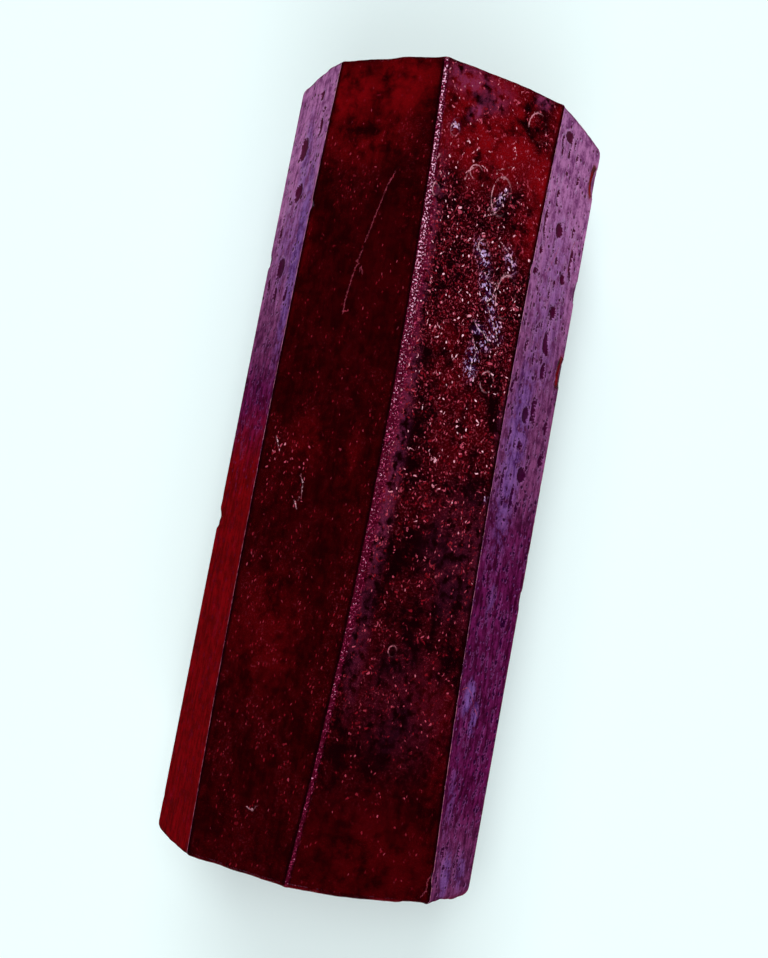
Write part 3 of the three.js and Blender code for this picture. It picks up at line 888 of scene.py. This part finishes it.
class Shader:
    """A material under construction."""

    def __init__(self, name):
        self.material = bpy.data.materials.new(name)
        self.material.use_nodes = True
        self.tree = self.material.node_tree
        self.tree.nodes.clear()

    def node(self, kind, settings=None, sockets=None, out=0):
        made = self.tree.nodes.new("ShaderNode" + kind)
        for key, value in (settings or {}).items():
            setattr(made, key, value)
        for key, value in (sockets or {}).items():
            if isinstance(value, Wire):
                self.tree.links.new(value.socket, made.inputs[key])
            else:
                made.inputs[key].default_value = value
        return Wire(self, made.outputs[out])

    def math(self, operation, first, second):
        return self.node("Math", {"operation": operation}, {0: first, 1: second})

    def larger(self, first, second):
        return self.math("MAXIMUM", first, second)

    def smaller(self, first, second):
        return self.math("MINIMUM", first, second)

    def rise(self, value, low, high):
        """0 below low, 1 above high, smooth between."""
        sockets = {"Value": value, "From Min": low, "From Max": high}
        return self.node("MapRange", {"interpolation_type": "SMOOTHSTEP"}, sockets)

    def fall(self, value, low, high):
        return 1 - self.rise(value, low, high)

    def attribute(self, name):
        return self.node("Attribute", {"attribute_name": name}, out="Fac")

    def spot(self, across, along):
        return self.node("CombineXYZ", None, {0: across, 1: along})

    def noise(self, across, along, detail=1.0, roughness=0.6):
        spot = self.spot(across, along)
        sockets = {"Vector": spot, "Scale": 1.0, "Detail": detail, "Roughness": roughness}
        return self.node("TexNoise", {"noise_dimensions": "2D"}, sockets)

    def cells(self, across, along):
        """The distance from a cell's middle, and three numbers drawn for the cell."""
        sockets = {"Vector": self.spot(across, along), "Scale": 1.0}
        away = self.node("TexVoronoi", {"voronoi_dimensions": "2D"}, sockets)
        drawn = self.node("SeparateColor", None, {0: away.output(1)})
        return away, drawn, drawn.output(1), drawn.output(2)

    def strokes(self, across, along, lean, wide, long, bend):
        """Cells drawn out into short strokes that lean from the crystal's length."""
        sideways = across * math.cos(lean) - along * math.sin(lean)
        lengthwise = along * math.cos(lean) + across * math.sin(lean)
        return self.cells(sideways * (1 / wide) + bend, lengthwise * (1 / long))

    def small_pits(self, across, along, waver, more):
        """Small etch pits, more of them where the last value is higher."""
        away, drawn, size, _ = self.cells(across * 0.95 + waver * 0.9, along * 0.85)
        chosen = self.rise(drawn + 0.2 * more, 0.52, 0.56)
        return self.fall(away - 0.12 * size * size, 0.09, 0.15) * chosen

    def paint(self, colour, *layers):
        """A colour with others over it, each by its share."""
        for share, over in layers:
            colour = self.blend(share, colour, over)
        return colour

    def blend(self, share, first, second):
        """A colour between two, by a share of the second."""
        sockets = {0: share, 6: opaque(first), 7: opaque(second)}
        return self.node("Mix", {"data_type": "RGBA"}, sockets, out=2)

    def finish(self, surface, volume=None):
        out = self.tree.nodes.new("ShaderNodeOutputMaterial")
        self.tree.links.new(surface.socket, out.inputs["Surface"])
        if volume:
            self.tree.links.new(volume.socket, out.inputs["Volume"])
        return self.material


# ---------- materials ----------

FLOOR_PALE = (0.8, 0.945, 0.945)
BERYL_IOR = 1.577
ABSORB_COLOUR = (0.86, 0.0, 0.05)
ABSORB_DENSITY = 330.0  # per metre

# Colours of the skin, dark and light. Lilac and blue are a painted sheen: the pale room reflected in
# the etched faces.
LILAC_SHEEN = (0.17, 0.03, 0.14), (0.5, 0.18, 0.42)
BLUE_SHEEN = (0.07, 0.014, 0.12), (0.23, 0.095, 0.35)
# The lilac sheen under painted shade, dark and light.
SHADED_SHEEN = (0.04, 0.0005, 0.016), (0.155, 0.009, 0.085)
# Red of the clean patches, also laid on as a painted red reflection, dark and light.
CLEAN_AND_REFLECTED_RED = (0.1, 0.0002, 0.001), (0.22, 0.0006, 0.003)
STILL = (0.018, 0.0002, 0.0006), (0.05, 0.0003, 0.0012)
FLECKED = (0.008, 0.0001, 0.001), (0.04, 0.0004, 0.002)
BREAK = (0.05, 0.0004, 0.002), (0.27, 0.003, 0.01)

# Painted highlights along its edges and on the lips of its pits, and painted shade in its pits, on
# lilac skin and on shaded or red skin.
EDGE_HIGHLIGHT = (0.8, 0.36, 0.48), (0.45, 0.05, 0.1)
LIP_HIGHLIGHT = (0.5, 0.28, 0.52), (0.26, 0.06, 0.24)
PIT_SHADE = (0.06, 0.001, 0.014), (0.022, 0.0006, 0.022)

GLOW_RED = (0.3, 0.002, 0.005)
# A painted lilac sheen, in patches.
SHEEN_LILAC = (0.24, 0.03, 0.1)
# Painted glints, red, pink and white.
GLINT_RED, GLINT_PINK, GLINT_WHITE = (0.17, 0.005, 0.012), (0.48, 0.07, 0.12), (1.0, 0.64, 0.76)
# Painted blue glints of the spark patches, on a dark ground.
SPARK_DARK, SPARK_BLUE = (0.03, 0.002, 0.03), (0.62, 0.5, 0.95)
# The rubbed ridge's dull ground, and painted glints on it, pink and white.
RUB_GROUND, RUB_GLINT_PINK, RUB_GLINT_WHITE = (0.075, 0.0012, 0.012), (0.5, 0.04, 0.14), (1.0, 0.55, 0.78)
CLEAR_TINT = (1.0, 0.93, 0.94)
CLEAR_SHINE = (0.9, 0.4, 0.9)
SKIN_ROUGHNESS = 0.5
BUMP = {"Strength": 0.8, "Distance": 0.001}


def red_beryl():
    """Clear wine-red beryl under a skin that is etched, rubbed, flecked or broken, with painted sheen,
    shade, reflection and glints on it.
    """
    s = Shader("red_beryl")
    rise, fall, blend, larger = s.rise, s.fall, s.blend, s.larger
    faces = s.node("UVMap", {"uv_map": "faces"})
    across = s.node("SeparateXYZ", None, {0: faces})
    along = across.output(1)
    (etched_share, rough, rubbed, broken, painted_shade, clean_and_reflected_red, cloud, glow, spark, scratched, from_edge,
     pit_gap, vein_gap, vein_side, ring_gap, ring_highlight) = (s.attribute(name) for name in STATES)

    # Textures that run with the crystal: growth lines, mottling, grain.
    lines = s.noise(across * 1.6, along * 0.3, detail=3.0)
    mottle = s.noise(across * 0.7 + 9.0, along * 0.75, detail=3.0, roughness=0.65)
    clouds = s.noise(across * 0.22, along * 0.17, detail=2.0)
    patch = s.noise(across * 1.4 + 5.0, along * 1.1)
    grain = s.noise(across * 4.2, along * 4.2)

    etched = rise(etched_share + 0.4 * (mottle - 0.5), 0.35, 0.65)

    # Etch pits: the ones in the mesh, and small ones between them, with a painted highlight on their
    # far lips.
    small_pits = s.small_pits(across, along, lines, painted_shade - clean_and_reflected_red)
    small_lip_highlight = s.small_pits(across - 0.17, along + 0.09, lines, painted_shade - clean_and_reflected_red)
    ragged = pit_gap + 0.5 * (grain - 0.5) + 0.5 * (mottle - 0.5)
    pits = larger(fall(ragged, -0.06, 0.02), small_pits) * etched * (1 - 0.92 * clean_and_reflected_red)
    lip_highlight = larger(fall(abs(ragged - 0.12), 0.04, 0.1) * 0.7, small_lip_highlight)
    lip_highlight = lip_highlight * (1 - pits) * etched * (1 - 0.95 * clean_and_reflected_red)

    # Strokes: painted glints on healed cracks and curls, long ones and fine ones.
    dense = rough * rise(clouds * 0.5 + mottle * 0.5 + rough * 0.12, 0.42, 0.62)
    dense = larger(dense, spark)
    bend = s.noise(across * 0.9, along * 0.8, roughness=0.5)
    away, drawn, size, tone = s.strokes(
        across, along, lean=0.5, wide=0.62, long=1.9, bend=bend * 3.0)
    long_strokes = fall(away - 0.1 * size, 0.07, 0.16) * rise(drawn + dense * 0.42, 0.84, 0.9)
    long_strokes = long_strokes * rise(grain, 0.36, 0.5) * rise(rough, 0.1, 0.4)
    away, drawn, size, fine_tone = s.strokes(
        across, along, lean=-0.3, wide=0.3, long=0.58, bend=bend * 4.0)
    fine_strokes = fall(away - 0.14 * size - 0.08 * spark, 0.13, 0.26)
    fine_strokes = fine_strokes * rise(drawn + dense * 0.46, 0.92, 1.02)
    curls = fall(abs(bend - 0.5), 0.006, 0.022) * rise(patch, 0.5, 0.56) * dense
    away, drawn, size, line_tone = s.strokes(
        across, along, lean=0.1, wide=0.38, long=1.0, bend=bend * 1.6)
    scratch_glints = fall(away - 0.1 * size, 0.08, 0.18) * rise(
        drawn + scratched * 0.36 + (mottle - 0.5) * 1.1 + (clouds - 0.5) * 1.2, 1.02, 1.08)
    off_edge = rise(from_edge, 0.15, 0.6)
    open_skin = (1 - etched * (1 - spark)) * (1 - broken) * off_edge
    strokes = larger(larger(long_strokes, fine_strokes), larger(curls, scratch_glints)) * open_skin
    # A painted highlight along the ring lines, brightest on one side.
    ring = fall(abs(ring_gap + 0.16 * (grain - 0.5)), 0.03, 0.1) * rise(mottle, 0.4, 0.55)
    jagged = abs(vein_side + 0.36 * (grain - 0.5))
    vein = fall(jagged, 0.03, 0.1) * fall(vein_gap, 0.28, 0.42)
    vein = vein * rise(patch * 0.5 + mottle * 0.5 + spark * 0.2, 0.36, 0.52)
    vein = vein * (1 - larger(spark, rough) * fall(grain, 0.46, 0.58) * 0.95)
    bright_line = s.smaller(ring * ring_highlight + vein * (0.7 + 0.3 * larger(spark, rough)), 1.0)

    # Wavy lines: painted highlights along crinkles of the skin, and short painted glints set across
    # the rubbed ridge.
    weave = s.noise(across * 1.3 + along * 0.8, along * 2.3 - across * 0.9, roughness=0.5)
    crinkle = fall(abs(weave - 0.5), 0.02, 0.06) * rise(grain, 0.4, 0.56)
    crinkle = crinkle * larger(rough, scratched * 0.5) * open_skin
    crinkle = crinkle * (1 - 0.6 * glow) * rise(clouds * 0.4 + mottle * 0.4 + rough * 0.1, 0.36, 0.52)
    rub_share = rise(rubbed + (patch - 0.5) * 0.7, 0.2, 0.6)
    rub_glint = fall(abs(weave - 0.5), 0.012, 0.045) * rise(grain + rubbed * 0.08, 0.52, 0.6)

    # Colours of the etched skin.
    streak = lines * (0.3 + 0.1 * painted_shade) + mottle * (0.45 - 0.15 * painted_shade) + clouds * 0.1 + grain * 0.15
    streak = rise(streak, 0.38, 0.6)
    purple = blend(painted_shade, blend(streak, *LILAC_SHEEN), blend(streak, *SHADED_SHEEN))
    # Red from the clean patches and from the painted red reflection.
    reddened = rise(clean_and_reflected_red + 0.5 * (clouds - 0.5), 0.1, 0.9)
    # A painted highlight line along the edges of the etched faces.
    edge_highlight = fall(from_edge + 0.2 * (grain - 0.5), 0.05, 0.13) * rise(patch, 0.42, 0.56) * 0.7
    bevel = s.paint(
        purple,
        (cloud * rise(mottle + cloud * 0.3, 0.5, 0.68), blend(streak, *BLUE_SHEEN)),
        (reddened, blend(streak, *CLEAN_AND_REFLECTED_RED)),
        (lip_highlight * 0.6, blend(painted_shade, *LIP_HIGHLIGHT)),
        (pits * 0.95, blend(painted_shade, *PIT_SHADE)),
        (edge_highlight, blend(larger(painted_shade * 0.8, clean_and_reflected_red), *EDGE_HIGHLIGHT)),
    )

    # Colours of the smooth and the fleck-filled skin, with patches of painted sheen and painted
    # highlights on its crinkles.
    flecked = rise(clouds * 0.4 + mottle * 0.35 + patch * 0.15 + grain * 0.1, 0.42, 0.6)
    still = rise(lines * 0.25 + mottle * 0.45 + clouds * 0.3, 0.36, 0.62)
    body = s.paint(
        blend(rise(rough, 0.0, 0.3), blend(still, *STILL), blend(flecked, *FLECKED)),
        (glow * rise(clouds * 0.6 + mottle * 0.4, 0.32, 0.6), GLOW_RED),
        (cloud * rise(patch * 0.4 + mottle * 0.6, 0.36, 0.6), SHEEN_LILAC),
        (spark * rough * rise(patch, 0.42, 0.55), SPARK_DARK),
        (crinkle * 0.85, blend(rise(grain, 0.52, 0.68), GLINT_RED, GLINT_PINK)),
        ((1 - off_edge) * 0.9, FLECKED[0]),
    )

    # Colours of the rubbed ridge with its painted glints and its highlighted crest, the broken ends,
    # and the strokes and bright lines as painted glints, over both.
    # A painted highlight along the crest of the ridge.
    crest_highlight = rise(rubbed + (grain - 0.5) * 1.8, 1.2, 1.34)
    rub_glint = larger(rub_glint, crest_highlight)
    rub_share = rub_share * (1 - 0.6 * broken)
    rub_glint_white = larger(crest_highlight, rise(grain * 0.7 + rubbed * 0.2 + patch * 0.2, 0.66, 0.82))
    glassy = rise(clouds * 0.6 + mottle * 0.4, 0.38, 0.62)
    hackle = fall(abs(weave - 0.5), 0.01, 0.04) * rise(grain * 0.5 + mottle * 0.5, 0.46, 0.56)
    shine = larger(fine_tone * fine_strokes, line_tone * scratch_glints * 0.7)
    shine = larger(tone * long_strokes, shine)
    shine = shine * (0.75 + 0.25 * rough) + spark * 0.25 + curls * 0.3
    glint_colour = s.paint(
        blend(rise(shine, 0.3, 0.8), GLINT_RED, GLINT_PINK),
        (rise(shine, 0.78, 1.0), GLINT_WHITE),
        (spark * rough * 0.7, SPARK_BLUE),
    )
    colour = s.paint(
        blend(etched, body, bevel),
        (rub_share * 0.7, RUB_GROUND),
        (rub_share * rub_glint, blend(rub_glint_white, RUB_GLINT_PINK, RUB_GLINT_WHITE)),
        (broken, blend(glassy, *BREAK)),
        # Painted highlights along hackle lines on the broken ends.
        (hackle * broken * 0.6, GLINT_PINK),
        (s.smaller(strokes, 1.0), glint_colour),
        (bright_line * 0.9, blend(larger(rough * 0.5, spark), GLINT_PINK, GLINT_WHITE)),
    )

    # How frosted the surface is, how rough, and its finest relief.
    frost = etched * (0.94 + 0.05 * larger(clean_and_reflected_red, painted_shade))
    frost = frost + (1 - etched) * (0.62 + cloud * 0.25 + clean_and_reflected_red * 0.36 + broken * 0.08)
    frost = larger(frost, 0.62 + 0.36 * rise(rubbed, 0.05, 0.3))
    frost = larger(frost, larger(rub_share * 0.9, larger(strokes, bright_line) * 0.95))
    frost = s.smaller(frost, 0.99)
    height = etched * (lines * 0.04 + mottle * 0.08) + grain * (0.02 + rough * 0.02 + rubbed * 0.08)
    height = height + broken * (mottle * 0.35 + lines * 0.45 + clouds * 1.5)
    bump = s.node("Bump", None, {**BUMP, "Height": height})
    roughness = 0.08 + etched * 0.3 + rough * 0.08 + rubbed * 0.2 + broken * 0.05

    clear = s.node("BsdfPrincipled", None, {
        "Base Color": opaque(CLEAR_TINT),
        "Roughness": roughness,
        "IOR": BERYL_IOR,
        "Transmission Weight": 1.0,
        "Specular Tint": opaque(CLEAR_SHINE),
        "Normal": bump,
    })
    skin = s.node("BsdfPrincipled", None, {
        "Base Color": colour,
        "Roughness": SKIN_ROUGHNESS,
        "IOR": BERYL_IOR,
        "Specular IOR Level": 0.0,
        "Normal": bump,
    })
    surface = s.node("MixShader", None, {0: frost, 1: clear, 2: skin})
    inside = s.node("VolumeAbsorption", None, {
        "Color": opaque(ABSORB_COLOUR),
        "Density": ABSORB_DENSITY,
    })
    return s.finish(surface, inside)


def plain_floor():
    s = Shader("floor")
    paint = s.node("BsdfPrincipled", None, {
        "Base Color": opaque(FLOOR_PALE),
        "Roughness": 0.9,
        "Specular IOR Level": 0.0,
    })
    return s.finish(paint)


# ---------- the room, in metres ----------

FLOOR_HALF = 3.0
FLOOR_DROP = 0.00005  # keeps the floor just clear of the crystal
LIGHTS_AIM = Vector((0, 0, 0.02))
ROOM_SEEN = {"Color": (0.86, 0.98, 1.0, 1.0), "Strength": 0.95}
ROOM_LIGHT = {"Color": (1.0, 0.4, 0.6, 1.0), "Strength": 0.02}


def make_floor():
    mesh = bmesh.new()
    bmesh.ops.create_grid(mesh, x_segments=1, y_segments=1, size=FLOOR_HALF)
    floor = add_mesh("floor", mesh, plain_floor())
    floor.location.z = -FLOOR_DROP


def add_light(name, place, width, strength):
    """A soft light that is the same everywhere, so many degrees wide."""
    data = bpy.data.lights.new(name, "SUN")
    data.angle = math.radians(width)
    data.energy = strength
    light = add_object(name, data)
    light.location = place
    aim = LIGHTS_AIM - Vector(place)
    light.rotation_euler = aim.to_track_quat("-Z", "Y").to_euler()


def pale_room():
    """A room that looks pale but hardly lights the stone."""
    world = bpy.data.worlds.new("room")
    world.use_nodes = True
    tree = world.node_tree
    tree.nodes.clear()
    either = tree.nodes.new("ShaderNodeMixShader")
    for index, look in ((1, ROOM_LIGHT), (2, ROOM_SEEN)):
        made = tree.nodes.new("ShaderNodeBackground")
        for socket, value in look.items():
            made.inputs[socket].default_value = value
        tree.links.new(made.outputs[0], either.inputs[index])
    rays = tree.nodes.new("ShaderNodeLightPath")
    tree.links.new(rays.outputs["Is Camera Ray"], either.inputs[0])
    out = tree.nodes.new("ShaderNodeOutputWorld")
    tree.links.new(either.outputs[0], out.inputs["Surface"])
    bpy.context.scene.world = world


def light_room():
    add_light("overhead", (0.01, 0.12, 0.9), width=31, strength=1.87)
    add_light("near", (0.15, -0.55, 0.64), width=34, strength=1.05)
    add_light("far", (-0.1, 0.55, 0.64), width=34, strength=1.05)
    pale_room()
    bpy.context.scene.view_settings.view_transform = "Standard"
    paths = bpy.context.scene.cycles
    paths.max_bounces = 4
    paths.diffuse_bounces = 2
    paths.glossy_bounces = 2
    paths.transmission_bounces = 4


# ---------- putting it together ----------

make_camera()
make_floor()
light_room()

crystal = make_crystal()
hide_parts("crystal")
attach(crystal, "root")
